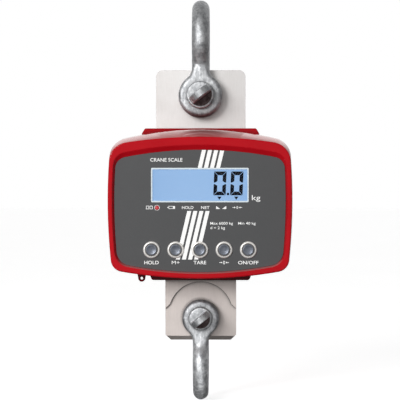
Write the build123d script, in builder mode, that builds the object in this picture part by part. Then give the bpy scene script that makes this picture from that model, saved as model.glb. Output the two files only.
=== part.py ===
from build123d import *
import os

# Electronic crane scale.
# Frame: millimetres, +Z up, -Y is the side with the display, +X is to the reader's right.
# Origin: the seat of the crane hook, inside the crown of the upper shackle.
# A flat steel load cell hangs from the upper shackle and carries the lower one.
# A two-part cast housing is bolted to the upper, unstrained end of the load cell.

# ---- Driving dimensions: load path ----
UPPER_PIN_Z = -95.0
LOWER_PIN_Z = -357.0

CELL_THICKNESS = 34.0
CELL_TOP_Z = -64.0
CELL_BOTTOM_Z = -384.0
CELL_WIDTH = 106.0
TONGUE_WIDTH = 84.0
CELL_WIDE_END_Z = -266.0
TONGUE_START_Z = -277.0
CELL_CORNER = 8.0
TONGUE_CORNER = 6.5
TONGUE_RELIEF = 3.0
RELIEF_RADIUS = 38.0
RELIEF_FLARE_Z = -346.5
PIN_CLEARANCE = 0.5
SLOT_HEIGHT = 5.0
SLOT_REACH = 84.0
UPPER_SLOT_Z = -196.0
LOWER_SLOT_Z = -254.0
GAUGE_Z = -225.0
POCKET_RADIUS = 17.0
POCKET_DEPTH = 10.0

# bar radius, half width inside the bow, half width inside the jaw, ear thickness and radius,
# pin radius, radius of the pin's collar, thickness of its tab, height of the pin and of the
# crown's inner side, +1 for a bow above its pin
UPPER_SHACKLE = dict(bar=10.25, bow=29.0, jaw=18.0, ear=20.0, eye=26.0,
                     pin=12.0, collar=15.9, tab=8.0, pin_z=UPPER_PIN_Z, crown_z=0.0, up=1)
LOWER_SHACKLE = dict(bar=9.25, bow=25.5, jaw=15.5, ear=18.0, eye=21.75,
                     pin=11.0, collar=13.6, tab=7.0, pin_z=LOWER_PIN_Z, crown_z=-437.5, up=-1)

# ---- Driving dimensions: housing ----
FRONT_Y = -75.0
BACK_Y = 62.0
SWELL_END_Y = -40.0
BACK_TAPER_Y = 30.0
WALL = 4.0
MIDDLE_Z = -217.8
HALF_WIDTH = 107.5
CROWN_Z = -135.5
SOLE_Z = -308.5
SIDE_ARC = 670.0
TOP_ARC = 385.0
BOTTOM_ARC = 513.0
TOP_CORNER = 23.0
BOTTOM_CORNER = 14.5
FRONT_NARROWING = 1.7
FRONT_CROWN_DROP = 10.2
FRONT_SOLE_RISE = 0.4
FRONT_ARC_GROWTH = 185.0
BACK_NARROWING = 3.5
BACK_CROWN_DROP = 6.0
BACK_SOLE_RISE = 4.0
RIM_ROUND = 1.4
BACK_ROUND = 5.0

PANEL_Y = -71.0
PANEL_HALF_WIDTH = 98.7
PANEL_TOP_Z = -159.8
PANEL_BOTTOM_Z = -300.8
PANEL_ARC = 440.0
PANEL_TOP_CORNER = 14.0
PANEL_SOLE_CORNER = 17.0
FOIL = 0.4
INNER_FRONT_Y = PANEL_Y + WALL

TOP_COLLAR = dict(narrow=65.4, wide=70.9, outer_z=-133.6, inner_z=-143.0, corner=2.5)
BOTTOM_COLLAR = dict(narrow=57.2, wide=60.7, outer_z=-312.0, inner_z=-303.0, corner=3.5)
COLLAR_DEPTH = 32.0
CELL_GAP = 0.6
SEAL_THICKNESS = 3.0
TOP_SEAL_Z = -138.0
BOTTOM_SEAL_Z = -308.5

HOUSING_SCREW_X = 93.0
HOUSING_SCREW_Z = (-163.0, -223.0, -283.0)
HOUSING_SCREW_SEAT_Y = 40.0
HOUSING_SCREW_TIP_Y = -14.0

# ---- Driving dimensions: operating panel ----
DISPLAY_Z = -200.7
DISPLAY_FRAME = (112.4, 39.8)
DISPLAY_VIEW = (109.3, 36.3)
DISPLAY_BOARD_Y = -60.0
BOARD = 1.6

BUTTON_Z = -275.0
BUTTON_PITCH = 27.8
BUTTON_NAMES = ("hold", "memory", "tare", "zero", "power")
BEZEL_RADIUS = 9.7
BARREL_RADIUS = 8.0
RING_RADIUS = 7.7
PLUNGER_RADIUS = 6.25
STEM_RADIUS = 3.0
BEZEL_Y = -73.6
BARREL_END_Y = -54.0
BUTTON_TRAVEL = 1.2
BUTTON_BOARD_Y = -48.0
LAMP_X = -49.3
LAMP_Z = -226.7

# ---- Driving dimensions: electronics and battery ----
MAIN_BOARD_Y = -38.0
MAIN_BOARD = (168.0, 70.0)
MAIN_BOARD_Z = -221.0
PLATE_Z = -164.0
PLATE_SIZE = (160.0, 24.0)
PLATE_THICKNESS = 3.0
BATTERY_Z = -222.0
TRAY_SIZE = (78.0, 60.0)
TRAY_Y = 34.0
COVER_SIZE = (96.0, 78.0)
SOCKET_X = 60.0
SOCKET_Y = 46.0
SOCKET_SEAT_Z = -307.0
STRAP_SCREW_X = SOCKET_X - 21.0
LUG_X = -71.2
LUG_Z = -311.6

THREAD = 0.02
TOUCH = 0.05


def upright(y):
    """Plane that faces the reader at depth y: local x is X, local y is Z."""
    return Plane.XZ.offset(-y)


def level(z):
    """Horizontal plane at height z."""
    return Plane.XY.offset(z)


def save(builder, name):
    """Label one finished piece and write it."""
    builder.part.label = name
    export_step(builder.part, f"parts/{name}.step")


def corner_of(half_width, crown_z, crown_arc, sign):
    """Where a crowned top (sign +1) or sole (sign -1) meets the bowed side."""
    x = half_width
    z = crown_z
    for _ in range(6):
        z = crown_z - sign * x * x / (2 * crown_arc)
        x = half_width - (z - MIDDLE_Z) ** 2 / (2 * SIDE_ARC)
    return x, z


def crowned_outline(y, half_width, top_z, sole_z, top_arc, sole_arc, top_corner, sole_corner):
    """Rounded rectangle with four bowed sides, on the upright plane at depth y."""
    top_x, top_end_z = corner_of(half_width, top_z, top_arc, 1)
    sole_x, sole_end_z = corner_of(half_width, sole_z, sole_arc, -1)
    with BuildSketch(upright(y)) as outline:
        with BuildLine():
            ThreePointArc((-top_x, top_end_z), (0, top_z), (top_x, top_end_z))
            ThreePointArc((top_x, top_end_z), (half_width, MIDDLE_Z), (sole_x, sole_end_z))
            ThreePointArc((sole_x, sole_end_z), (0, sole_z), (-sole_x, sole_end_z))
            ThreePointArc((-sole_x, sole_end_z), (-half_width, MIDDLE_Z), (-top_x, top_end_z))
        make_face()
        fillet(outline.vertices().sort_by(Axis.Y)[-2:], top_corner)
        fillet(outline.vertices().sort_by(Axis.Y)[:2], sole_corner)
    return outline.sketch


def housing_section(y, inset=0.0):
    """Cross-section of the housing at depth y, moved inwards by inset."""
    swell = max(0.0, (y - SWELL_END_Y) / (FRONT_Y - SWELL_END_Y)) ** 2
    taper = max(0.0, (y - BACK_TAPER_Y) / (BACK_Y - BACK_TAPER_Y)) ** 2
    return crowned_outline(
        y,
        HALF_WIDTH - FRONT_NARROWING * swell - BACK_NARROWING * taper - inset,
        CROWN_Z - FRONT_CROWN_DROP * swell - BACK_CROWN_DROP * taper - inset,
        SOLE_Z + FRONT_SOLE_RISE * swell + BACK_SOLE_RISE * taper + inset,
        TOP_ARC + FRONT_ARC_GROWTH * swell,
        BOTTOM_ARC,
        TOP_CORNER - inset,
        BOTTOM_CORNER - inset,
    )


def sections_between(start_y, end_y, steps, inset=0.0):
    """Evenly spaced housing sections from one depth to another."""
    return [housing_section(start_y + i * (end_y - start_y) / steps, inset) for i in range(steps + 1)]


def panel_outline(y, grow_top=0.0, grow_side=0.0, grow_sole=0.0):
    """Outline of the sunk operating panel at depth y."""
    return crowned_outline(
        y,
        PANEL_HALF_WIDTH + grow_side,
        PANEL_TOP_Z + grow_top,
        PANEL_BOTTOM_Z - grow_sole,
        PANEL_ARC,
        PANEL_ARC,
        PANEL_TOP_CORNER + grow_side,
        PANEL_SOLE_CORNER + grow_side,
    )


def drill(y, depth, radius, spots):
    """Cut round holes from depth y towards the back, in the part being built."""
    with BuildSketch(upright(y)) as holes:
        with Locations(*spots):
            Circle(radius)
    extrude(holes.sketch, amount=-depth, mode=Mode.SUBTRACT)


def post(y, depth, radius, spots):
    """Add round posts from depth y towards the back."""
    with BuildSketch(upright(y)) as rounds:
        with Locations(*spots):
            Circle(radius)
    extrude(rounds.sketch, amount=-depth)


def block(y, depth, width, height, spots, corner=0.0, mode=Mode.ADD):
    """Add or cut rectangular blocks from depth y towards the back."""
    with BuildSketch(upright(y)) as blocks:
        with Locations(*spots):
            if corner > 0:
                RectangleRounded(width, height, corner)
            else:
                Rectangle(width, height)
    extrude(blocks.sketch, amount=-depth, mode=mode)


def screws(name, spots, seat_y, tip_y, shank, head, height):
    """Group of socket-head screws along Y; each head stands on the side away from its tip."""
    side = 1 if seat_y > tip_y else -1
    with BuildPart() as group:
        with BuildSketch(upright(tip_y)):
            with Locations(*spots):
                Circle(shank)
        extrude(amount=tip_y - seat_y)
        with BuildSketch(upright(seat_y)):
            with Locations(*spots):
                Circle(head)
        extrude(amount=-side * height)
        with BuildSketch(upright(seat_y + side * height)):
            with Locations(*spots):
                RegularPolygon(head * 0.5, 6)
        extrude(amount=side * height * 0.6, mode=Mode.SUBTRACT)
    save(group, name)


os.makedirs("parts", exist_ok=True)

# ---------------------------------------------------------------- load cell
HALF_CELL = CELL_THICKNESS / 2
RELIEF_FLARE = 6.0
RELIEF_CENTRE_Z = LOWER_PIN_Z + 4.7
RELIEF_END_Z = CELL_BOTTOM_Z - 12.0
RELIEF_SIDE_Z = RELIEF_FLARE_Z - 1.0
PLATE_BOLTS = [(-30.0, PLATE_Z), (30.0, PLATE_Z)]
PLATE_BOLT = 3.0


def relief_outline(y):
    """Thinned area of the tongue, where the lower shackle's legs swing."""
    half = TONGUE_WIDTH / 2 + 1.0
    with BuildSketch(upright(y)) as relief:
        with Locations((0, RELIEF_CENTRE_Z)):
            Circle(RELIEF_RADIUS)
        with BuildLine():
            Polyline(
                (-half, RELIEF_END_Z),
                (-half, RELIEF_SIDE_Z),
                (-half + RELIEF_FLARE, RELIEF_SIDE_Z + RELIEF_FLARE),
                (half - RELIEF_FLARE, RELIEF_SIDE_Z + RELIEF_FLARE),
                (half, RELIEF_SIDE_Z),
                (half, RELIEF_END_Z),
                close=True,
            )
        make_face()
    return relief.sketch


with BuildPart() as load_cell:
    with BuildSketch(upright(HALF_CELL)) as cell_face:
        with BuildLine():
            Polyline(
                (-CELL_WIDTH / 2, CELL_TOP_Z),
                (CELL_WIDTH / 2, CELL_TOP_Z),
                (CELL_WIDTH / 2, CELL_WIDE_END_Z),
                (TONGUE_WIDTH / 2, TONGUE_START_Z),
                (TONGUE_WIDTH / 2, CELL_BOTTOM_Z),
                (-TONGUE_WIDTH / 2, CELL_BOTTOM_Z),
                (-TONGUE_WIDTH / 2, TONGUE_START_Z),
                (-CELL_WIDTH / 2, CELL_WIDE_END_Z),
                close=True,
            )
        make_face()
        fillet(cell_face.vertices().sort_by(Axis.Y)[-2:], CELL_CORNER)
        chamfer(cell_face.vertices().sort_by(Axis.Y)[:2], TONGUE_CORNER)
    extrude(amount=CELL_THICKNESS)
    # thinned tongue, front and back
    front_relief = relief_outline(-HALF_CELL + TONGUE_RELIEF)
    extrude(front_relief, amount=TONGUE_RELIEF + 1, mode=Mode.SUBTRACT)
    back_relief = relief_outline(HALF_CELL - TONGUE_RELIEF)
    extrude(back_relief, amount=-TONGUE_RELIEF - 1, mode=Mode.SUBTRACT)
    chamfer(load_cell.faces().sort_by(Axis.Z)[0].edges().filter_by(Axis.X), 5.0)
    # pin bores
    drill(-HALF_CELL, CELL_THICKNESS, UPPER_SHACKLE["pin"] + PIN_CLEARANCE, [(0, UPPER_PIN_Z)])
    drill(-HALF_CELL, CELL_THICKNESS, LOWER_SHACKLE["pin"] + PIN_CLEARANCE, [(0, LOWER_PIN_Z)])
    # the two slots that make the middle an S
    slot_shift = (CELL_WIDTH - SLOT_REACH) / 2
    slots = [(-slot_shift, UPPER_SLOT_Z), (slot_shift, LOWER_SLOT_Z)]
    block(-HALF_CELL, CELL_THICKNESS, SLOT_REACH, SLOT_HEIGHT, slots, mode=Mode.SUBTRACT)
    # gauge pockets, front and back
    drill(-HALF_CELL, POCKET_DEPTH, POCKET_RADIUS, [(0, GAUGE_Z)])
    drill(HALF_CELL - POCKET_DEPTH, POCKET_DEPTH, POCKET_RADIUS, [(0, GAUGE_Z)])
    # tapped holes for the mounting plate
    drill(-HALF_CELL, 16.0, PLATE_BOLT + THREAD, PLATE_BOLTS)
save(load_cell, "load_cell")

with BuildPart() as gauge_pocket_covers:
    post(-HALF_CELL, 1.5, POCKET_RADIUS - TOUCH, [(0, GAUGE_Z)])
    post(HALF_CELL - 1.5, 1.5, POCKET_RADIUS - TOUCH, [(0, GAUGE_Z)])
save(gauge_pocket_covers, "gauge_pocket_covers")

GAUGE_SPOTS = [(-7.0, GAUGE_Z), (7.0, GAUGE_Z)]
GAUGE_FOIL = 0.3
with BuildPart() as strain_gauges:
    block(-HALF_CELL + POCKET_DEPTH - GAUGE_FOIL, GAUGE_FOIL, 9.0, 6.0, GAUGE_SPOTS)
    block(HALF_CELL - POCKET_DEPTH, GAUGE_FOIL, 9.0, 6.0, GAUGE_SPOTS)
save(strain_gauges, "strain_gauges")


# ---------------------------------------------------------------- shackles
NECK_BLEND = 14.0
NECK_RISE = 6.0
NECK_TAPER = 6.0
NECK_SLIM = 0.7
EAR_ROUND = 5.0
COLLAR_THICKNESS = 8.0
TAB_ANGLE = 38.0
THREAD_PITCH = 3.0


def shackle_bow(s, name):
    """Forged bow: a round bar bent to an omega, with a flat bored eye on each leg."""
    up = s["up"]
    bar = s["bar"]
    leg_y = s["jaw"] + s["ear"] / 2
    bend = s["bow"] + bar
    bend_z = s["crown_z"] - up * s["bow"]
    neck_z = s["pin_z"] + up * (s["eye"] + NECK_RISE)
    taper_z = neck_z + up * NECK_TAPER
    slim = bar * NECK_SLIM
    root_z = s["pin_z"] + up * s["eye"] * 0.8
    ear_y = s["jaw"] + s["ear"]

    with BuildPart() as ear:
        with BuildSketch(upright(-s["jaw"])) as eye:
            with BuildLine():
                Polyline(
                    (-bar, s["pin_z"]),
                    (-bar, neck_z),
                    (-slim, taper_z),
                    (slim, taper_z),
                    (bar, neck_z),
                    (bar, s["pin_z"]),
                    close=True,
                )
            make_face()
            with Locations((0, s["pin_z"])):
                Circle(s["eye"])
            notch = eye.vertices().sort_by(Axis.Y, reverse=up < 0)[-6:-4]
            fillet(notch, NECK_BLEND)
        extrude(amount=s["ear"])
        flat = ear.faces().filter_by(Axis.Y)
        fillet(flat.edges(), EAR_ROUND)

    with BuildPart() as bow:
        with BuildLine() as path:
            Line((0, -leg_y, root_z), (0, -leg_y, neck_z))
            Spline((0, -leg_y, neck_z), (0, -bend, bend_z), tangents=[(0, 0, up), (0, 0, up)])
            ThreePointArc((0, -bend, bend_z), (0, 0, bend_z + up * bend), (0, bend, bend_z))
            Spline((0, bend, bend_z), (0, leg_y, neck_z), tangents=[(0, 0, -up), (0, 0, -up)])
            Line((0, leg_y, neck_z), (0, leg_y, root_z))
        with BuildSketch(Plane(origin=(0, -leg_y, root_z), z_dir=(0, 0, up))):
            Circle(bar)
        sweep(path=path.line)
        add(ear.part)
        add(ear.part.mirror(Plane.XZ))
        drill(-ear_y - 1, s["ear"] + 2, s["pin"] + PIN_CLEARANCE, [(0, s["pin_z"])])
        drill(s["jaw"] - 1, s["ear"] + 2, s["pin"] + TOUCH, [(0, s["pin_z"])])
    save(bow, name)


def shackle_pin(s, name):
    """Screw pin: shank with a threaded end, a round collar and a flat drilled tab."""
    spot = [(0, s["pin_z"])]
    collar = s["collar"]
    ear_y = s["jaw"] + s["ear"]
    head_y = -ear_y - COLLAR_THICKNESS
    reach = collar * 1.1
    tab_half = collar * 0.82
    across = Vector(1, 0, 0).rotate(Axis.Y, -TAB_ANGLE)
    normal = Vector(0, 0, 1).rotate(Axis.Y, -TAB_ANGLE)
    with BuildPart() as pin:
        post(head_y, COLLAR_THICKNESS, collar, spot)
        fillet(pin.edges().filter_by(GeomType.CIRCLE), 1.6)
        post(-ear_y, 2 * ear_y, s["pin"], spot)
        chamfer(pin.edges().filter_by(GeomType.CIRCLE).sort_by(Axis.Y)[-1], 1.2)
        # thread in the far eye
        for turn in range(int(s["ear"] / THREAD_PITCH) - 1):
            with BuildSketch(upright(s["jaw"] + 2 + turn * THREAD_PITCH)):
                with Locations(*spot):
                    Circle(s["pin"] + 1)
                    Circle(s["pin"] - 0.7, mode=Mode.SUBTRACT)
            extrude(amount=-THREAD_PITCH * 0.4, mode=Mode.SUBTRACT)
        # tab
        with BuildSketch(Plane(origin=(0, head_y, s["pin_z"]), x_dir=across, z_dir=normal)):
            with Locations((0, 1 - reach / 2)):
                Rectangle(2 * tab_half, reach + 2)
            with Locations((0, -reach)):
                Circle(tab_half)
            with Locations((0, -reach)):
                Circle(tab_half * 0.42, mode=Mode.SUBTRACT)
        extrude(amount=s["tab"] / 2, both=True)
    save(pin, name)


shackle_bow(UPPER_SHACKLE, "upper_shackle_bow")
shackle_bow(LOWER_SHACKLE, "lower_shackle_bow")
shackle_pin(UPPER_SHACKLE, "upper_shackle_pin")
shackle_pin(LOWER_SHACKLE, "lower_shackle_pin")

# ---------------------------------------------------------------- housing shells
SCREW_SPOTS = [(side * HOUSING_SCREW_X, z) for side in (-1, 1) for z in HOUSING_SCREW_Z]
PLATE_SCREW_SPOTS = [(-70.0, PLATE_Z), (70.0, PLATE_Z)]
MAIN_SCREW_SPOTS = [(x, MAIN_BOARD_Z + dz) for x in (-80, 80) for dz in (-31, 31)]
BUTTON_BOARD_SCREW_SPOTS = [(-76.0, BUTTON_Z), (76.0, BUTTON_Z)]
BUTTON_X = [(i - 2) * BUTTON_PITCH for i in range(5)]
BUTTON_SPOTS = [(x, BUTTON_Z) for x in BUTTON_X]
DISPLAY_SCREW_SPOTS = [(x, DISPLAY_Z + dz) for x in (-60.4, 60.4) for dz in (-18, 18)]
LAMP_SPOT = [(LAMP_X, LAMP_Z)]
HOUSING_SCREW = 2.0
PLATE_Y = -HALF_CELL - PLATE_THICKNESS
LAMP_RING_RADIUS = 3.35
BORE_GAP = 0.1


def collar(shape, depth):
    """Raised collar around the cell, on one side of the parting plane."""
    with BuildSketch(upright(0)) as profile:
        with BuildLine():
            Polyline(
                (-shape["narrow"], shape["outer_z"]),
                (shape["narrow"], shape["outer_z"]),
                (shape["wide"], shape["inner_z"]),
                (-shape["wide"], shape["inner_z"]),
                close=True,
            )
        make_face()
        fillet(profile.vertices(), shape["corner"])
    extrude(profile.sketch, amount=depth)


def cell_passage(width, shape, seal_z):
    """Opening for the cell through one collar, with the groove for its seal."""
    low = min(shape["outer_z"], shape["inner_z"]) - 1
    high = max(shape["outer_z"], shape["inner_z"]) + 1
    with BuildSketch(level(low)) as opening:
        Rectangle(width + 2 * CELL_GAP, CELL_THICKNESS + 2 * CELL_GAP)
    extrude(opening.sketch, amount=high - low, mode=Mode.SUBTRACT)
    with BuildSketch(level(seal_z - TOUCH)) as seal_groove:
        Rectangle(width + 6.2, CELL_THICKNESS + 6.2)
    extrude(seal_groove.sketch, amount=SEAL_THICKNESS + 2 * TOUCH, mode=Mode.SUBTRACT)


with BuildPart() as front_housing:
    loft(sections_between(FRONT_Y, SWELL_END_Y, 4))
    extrude(housing_section(SWELL_END_Y), amount=SWELL_END_Y)
    fillet(front_housing.faces().sort_by(Axis.Y)[0].edges(), RIM_ROUND)
    # cavity
    loft(sections_between(INNER_FRONT_Y, SWELL_END_Y, 3, WALL), mode=Mode.SUBTRACT)
    extrude(housing_section(SWELL_END_Y, WALL), amount=SWELL_END_Y, mode=Mode.SUBTRACT)
    # sunk panel with a bevelled rim
    rim_opening = panel_outline(FRONT_Y, grow_top=5.4, grow_side=2.2, grow_sole=1.7)
    loft([rim_opening, panel_outline(PANEL_Y)], mode=Mode.SUBTRACT)
    collar(TOP_COLLAR, COLLAR_DEPTH)
    collar(BOTTOM_COLLAR, COLLAR_DEPTH)
    # posts behind the panel
    post(INNER_FRONT_Y, -INNER_FRONT_Y, 5.0, SCREW_SPOTS)
    post(INNER_FRONT_Y, PLATE_Y - INNER_FRONT_Y, 5.0, PLATE_SCREW_SPOTS)
    post(INNER_FRONT_Y, MAIN_BOARD_Y - INNER_FRONT_Y, 3.6, MAIN_SCREW_SPOTS)
    post(INNER_FRONT_Y, BUTTON_BOARD_Y - INNER_FRONT_Y, 3.6, BUTTON_BOARD_SCREW_SPOTS)
    cell_passage(CELL_WIDTH, TOP_COLLAR, TOP_SEAL_Z)
    cell_passage(TONGUE_WIDTH, BOTTOM_COLLAR, BOTTOM_SEAL_Z)
    # openings in the panel
    block(FRONT_Y, INNER_FRONT_Y - FRONT_Y + 1, DISPLAY_FRAME[0] + 0.2,
          DISPLAY_FRAME[1] + 0.2, [(0, DISPLAY_Z)], corner=1.6, mode=Mode.SUBTRACT)
    drill(FRONT_Y, INNER_FRONT_Y - FRONT_Y + 1, BARREL_RADIUS + BORE_GAP, BUTTON_SPOTS)
    drill(FRONT_Y, INNER_FRONT_Y - FRONT_Y + 1, LAMP_RING_RADIUS + BORE_GAP, LAMP_SPOT)
    # threaded holes in the posts
    drill(HOUSING_SCREW_TIP_Y - 2, -HOUSING_SCREW_TIP_Y + 2, HOUSING_SCREW + THREAD, SCREW_SPOTS)
    drill(PLATE_Y - 16, 16, HOUSING_SCREW + THREAD, PLATE_SCREW_SPOTS)
    drill(MAIN_BOARD_Y - 10, 10, 1.5 + THREAD, MAIN_SCREW_SPOTS)
    drill(BUTTON_BOARD_Y - 10, 10, 1.5 + THREAD, BUTTON_BOARD_SCREW_SPOTS)
    drill(INNER_FRONT_Y - 2.5, 2.5, 1.25 + THREAD, DISPLAY_SCREW_SPOTS)
save(front_housing, "front_housing")

COVER_RECESS_Y = 59.4
COVER_SCREW_SPOTS = [(x, BATTERY_Z + dz) for x in (-44.5, 44.5) for dz in (-35.5, 35.5)]
PLATE_RECESS = (64.0, 26.0)
RATING_Z = -163.0
LUG_RADIUS = 4.2
LUG_HOLE = 1.6
LUG_FLARE = 5.6
LUG_ROOT_Z = -304.0
LUG_Y = 4.0
LUG_THICKNESS = 6.0
GASKET_OUTER = 1.2
GASKET_INNER = 2.8
GASKET_DEPTH = 1.2
SOCKET_BODY = 5.5
INNER_BACK_Y = BACK_Y - WALL


def gasket_ring(outer, inner, depth):
    """Ring that follows the parting line, broken where the collars are."""
    extrude(housing_section(0, outer), amount=-depth)
    extrude(housing_section(0, inner), amount=-depth, mode=Mode.SUBTRACT)


with BuildPart() as groove:
    gasket_ring(GASKET_OUTER - TOUCH, GASKET_INNER + TOUCH, GASKET_DEPTH + TOUCH)
    with BuildSketch(upright(-1)):
        with Locations((0, MIDDLE_Z)):
            Rectangle(2 * TOP_COLLAR["wide"] + 4, 260)
    extrude(amount=-5, mode=Mode.SUBTRACT)

with BuildPart() as rear_housing:
    extrude(housing_section(0), amount=-BACK_TAPER_Y)
    loft(sections_between(BACK_TAPER_Y, BACK_Y, 3))
    fillet(rear_housing.faces().sort_by(Axis.Y)[-1].edges(), BACK_ROUND)
    # cavity
    extrude(housing_section(0, WALL), amount=-BACK_TAPER_Y, mode=Mode.SUBTRACT)
    loft(sections_between(BACK_TAPER_Y, INNER_BACK_Y, 2, WALL), mode=Mode.SUBTRACT)
    collar(TOP_COLLAR, -COLLAR_DEPTH)
    collar(BOTTOM_COLLAR, -COLLAR_DEPTH)
    post(0, BACK_Y - 2, 5.5, SCREW_SPOTS)
    post(INNER_BACK_Y - 9, 9, 3.2, COVER_SCREW_SPOTS)
    # flat pad for the charging socket and its strap
    with BuildSketch(level(SOCKET_SEAT_Z)):
        with Locations((SOCKET_X - 9, SOCKET_Y)):
            RectangleRounded(40, 18, 4)
    extrude(amount=10.0)
    cell_passage(CELL_WIDTH, TOP_COLLAR, TOP_SEAL_Z)
    cell_passage(TONGUE_WIDTH, BOTTOM_COLLAR, BOTTOM_SEAL_Z)
    # housing screws: clearance holes and deep counterbores
    drill(0, BACK_Y, HOUSING_SCREW + 0.2, SCREW_SPOTS)
    drill(HOUSING_SCREW_SEAT_Y, BACK_Y - HOUSING_SCREW_SEAT_Y, 4.0, SCREW_SPOTS)
    # battery opening and the recess for its cover
    block(INNER_BACK_Y - 1, 6, TRAY_SIZE[0] - 4, TRAY_SIZE[1] - 4, [(0, BATTERY_Z)],
          mode=Mode.SUBTRACT)
    block(COVER_RECESS_Y, 4, COVER_SIZE[0] + 0.4, COVER_SIZE[1] + 0.4, [(0, BATTERY_Z)],
          corner=4.2, mode=Mode.SUBTRACT)
    drill(COVER_RECESS_Y - 9, 9, 1.5 + THREAD, COVER_SCREW_SPOTS)
    # shallow pocket for the rating plate
    block(BACK_Y - 0.6, 1, PLATE_RECESS[0], PLATE_RECESS[1], [(0, RATING_Z)], corner=2.0,
          mode=Mode.SUBTRACT)
    # socket hole
    with BuildSketch(level(SOCKET_SEAT_Z)):
        with Locations((SOCKET_X, SOCKET_Y)):
            Circle(SOCKET_BODY + BORE_GAP)
    extrude(amount=12.0, mode=Mode.SUBTRACT)
    with BuildSketch(level(SOCKET_SEAT_Z)):
        with Locations((STRAP_SCREW_X, SOCKET_Y)):
            Circle(1.5 + THREAD)
    extrude(amount=7.0, mode=Mode.SUBTRACT)
    # eyelet lug
    with BuildSketch(upright(LUG_Y)):
        with BuildLine():
            Polyline(
                (LUG_X - LUG_FLARE, LUG_ROOT_Z),
                (LUG_X + LUG_FLARE, LUG_ROOT_Z),
                (LUG_X + LUG_RADIUS, LUG_Z),
                (LUG_X - LUG_RADIUS, LUG_Z),
                close=True,
            )
        make_face()
        with Locations((LUG_X, LUG_Z)):
            Circle(LUG_RADIUS)
    extrude(amount=-LUG_THICKNESS)
    drill(LUG_Y, LUG_THICKNESS, LUG_HOLE, [(LUG_X, LUG_Z)])
    add(groove.part, mode=Mode.SUBTRACT)
save(rear_housing, "rear_housing")

with BuildPart() as housing_gasket:
    gasket_ring(GASKET_OUTER, GASKET_INNER, GASKET_DEPTH)
    with BuildSketch(upright(-1)):
        with Locations((0, MIDDLE_Z)):
            Rectangle(2 * TOP_COLLAR["wide"] + 4 + 2 * TOUCH, 260)
    extrude(amount=-5, mode=Mode.SUBTRACT)
save(housing_gasket, "housing_gasket")

screws("housing_screws", SCREW_SPOTS, HOUSING_SCREW_SEAT_Y, HOUSING_SCREW_TIP_Y,
       HOUSING_SCREW, 3.5, 4.0)


def cell_seal(name, width, z):
    """Rubber frame that closes the gap between the cell and a collar."""
    with BuildPart() as seal:
        with BuildSketch(level(z)):
            Rectangle(width + 6, CELL_THICKNESS + 6)
            Rectangle(width + 0.1, CELL_THICKNESS + 0.1, mode=Mode.SUBTRACT)
        extrude(amount=SEAL_THICKNESS)
    save(seal, name)


cell_seal("upper_cell_seal", CELL_WIDTH, TOP_SEAL_Z)
cell_seal("lower_cell_seal", TONGUE_WIDTH, BOTTOM_SEAL_Z)

# ---------------------------------------------------------------- mounting plate
with BuildPart() as mounting_plate:
    block(PLATE_Y, PLATE_THICKNESS, PLATE_SIZE[0], PLATE_SIZE[1], [(0, PLATE_Z)], corner=4.0)
    drill(PLATE_Y, PLATE_THICKNESS, PLATE_BOLT + 0.3, PLATE_BOLTS)
    drill(PLATE_Y, PLATE_THICKNESS, HOUSING_SCREW + 0.2, PLATE_SCREW_SPOTS)
save(mounting_plate, "mounting_plate")

screws("plate_screws_cell", PLATE_BOLTS, PLATE_Y, -3.0, PLATE_BOLT, 5.0, 6.0)
screws("plate_screws_housing", PLATE_SCREW_SPOTS, -HALF_CELL, PLATE_Y - 14, HOUSING_SCREW, 3.5, 4.0)

# ---------------------------------------------------------------- operating panel
FOIL_Y = PANEL_Y - FOIL
with BuildPart() as front_overlay:
    foil = panel_outline(FOIL_Y, grow_top=-0.3, grow_side=-0.3, grow_sole=-0.3)
    extrude(foil, amount=-FOIL)
    block(FOIL_Y, FOIL, DISPLAY_FRAME[0] + 0.2, DISPLAY_FRAME[1] + 0.2, [(0, DISPLAY_Z)],
          corner=1.6, mode=Mode.SUBTRACT)
    drill(FOIL_Y, FOIL, BARREL_RADIUS + BORE_GAP, BUTTON_SPOTS)
    drill(FOIL_Y, FOIL, LAMP_RING_RADIUS + BORE_GAP, LAMP_SPOT)
save(front_overlay, "front_overlay")

FRAME_Y = FOIL_Y - 0.2
FLANGE = (128.0, 46.0)
FLANGE_THICKNESS = 2.0
with BuildPart() as display_frame:
    block(FRAME_Y, DISPLAY_BOARD_Y - FRAME_Y, DISPLAY_FRAME[0], DISPLAY_FRAME[1],
          [(0, DISPLAY_Z)], corner=1.5)
    fillet(display_frame.faces().sort_by(Axis.Y)[0].edges(), 0.4)
    block(INNER_FRONT_Y, FLANGE_THICKNESS, FLANGE[0], FLANGE[1], [(0, DISPLAY_Z)], corner=3.0)
    post(INNER_FRONT_Y, DISPLAY_BOARD_Y - INNER_FRONT_Y, 3.0, DISPLAY_SCREW_SPOTS)
    block(FRAME_Y, DISPLAY_BOARD_Y - FRAME_Y, DISPLAY_VIEW[0], DISPLAY_VIEW[1],
          [(0, DISPLAY_Z)], corner=0.8, mode=Mode.SUBTRACT)
    drill(INNER_FRONT_Y, DISPLAY_BOARD_Y - INNER_FRONT_Y, 1.25 + 0.1, DISPLAY_SCREW_SPOTS)
save(display_frame, "display_frame")


def display_layer(name, y, thickness):
    """One of the sheets stacked inside the display frame."""
    with BuildPart() as layer:
        block(y, thickness, DISPLAY_VIEW[0] - 0.1, DISPLAY_VIEW[1] - 0.1, [(0, DISPLAY_Z)],
              corner=0.8)
    save(layer, name)


WINDOW_Y = FRAME_Y + 0.8
display_layer("display_window", WINDOW_Y, 1.2)
display_layer("lcd_glass", WINDOW_Y + 1.3, 2.6)
display_layer("lcd_backlight", WINDOW_Y + 4.0, 4.0)

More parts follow.
